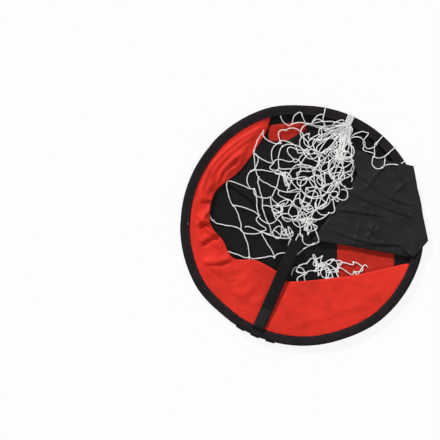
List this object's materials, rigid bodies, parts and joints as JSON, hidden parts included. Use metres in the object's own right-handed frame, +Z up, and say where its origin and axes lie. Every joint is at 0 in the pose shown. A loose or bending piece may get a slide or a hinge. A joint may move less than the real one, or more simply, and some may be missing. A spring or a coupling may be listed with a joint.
{
  "type": "golf chipping net",
  "caption": "Collapsible golf chipping net folded flat: a cloth-bound spring hoop mouth hinged on a base hoop, with red target cloth, black gussets, white netting and a strap.",
  "frame": {"origin": "on the floor under the middle of the base hoop", "axes": "+Z up; the hinge side of the two hoops is at -Y and the side that lifts is at +Y; +X is the side of the large black gusset"},
  "size_m": [0.5, 0.505, 0.0197],
  "materials": {
    "spring_steel": "drawn round spring wire, oiled",
    "ferrule_steel": "crimped plated sleeve",
    "black_binding": "matt black ribbed polyester tape, folded and sewn",
    "black_nylon": "thin black woven nylon, slight sheen, creased",
    "red_nylon": "thin orange-red woven nylon, slight sheen, creased",
    "white_twine": "white knotted twine",
    "black_webbing": "matt black flat webbing",
    "hook_and_loop": "black hook and loop tape"
  },
  "bodies": {
    "base": {"base_hoop_wire": "spring_steel", "base_hoop_ferrule": "ferrule_steel", "base_hoop_binding": "black_binding", "base_panel": "black_nylon", "base_patch_left": "red_nylon", "base_patch_right": "red_nylon", "hinge_tab_left_lower": "black_webbing", "hinge_tab_centre_lower": "black_webbing", "hinge_tab_right_lower": "black_webbing"},
    "mouth": {"mouth_hoop_wire": "spring_steel", "mouth_hoop_ferrule": "ferrule_steel", "mouth_hoop_binding": "black_binding", "target_panel_left": "red_nylon", "target_panel_right": "red_nylon", "net_ties": "white_twine", "net_head_lashing": "white_twine", "strap_anchor": "black_webbing", "hinge_tab_left_upper": "black_webbing", "hinge_tab_centre_upper": "black_webbing", "hinge_tab_right_upper": "black_webbing"},
    "pocket": {"catch_net": "white_twine", "gusset_left_lower": "black_nylon", "gusset_left_upper": "black_nylon", "gusset_right_lower": "black_nylon", "gusset_right_upper": "black_nylon"},
    "strap": {"centre_strap": "black_webbing", "strap_hook_pad": "hook_and_loop", "strap_loop_pad": "hook_and_loop"}
  },
  "joints": [
    {"name": "mouth_open", "type": "hinge", "parent": "base", "child": "mouth", "pos_m": [0, -0.2514, 0.0085], "axis": [1, 0, 0], "range_deg": [0, 60]},
    {"name": "pocket_lift", "type": "hinge", "parent": "base", "child": "pocket", "pos_m": [0, -0.2514, 0.0085], "axis": [1, 0, 0], "range_deg": [0, 30]},
    {"name": "strap_flip", "type": "hinge", "parent": "mouth", "child": "strap", "pos_m": [0, -0.235, 0.01805], "axis": [1, 0, 0], "range_deg": [0, 120]}
  ],
  "couplings": [
    {"joint": "pocket_lift", "follows": "mouth_open", "ratio": 0.5}
  ]
}
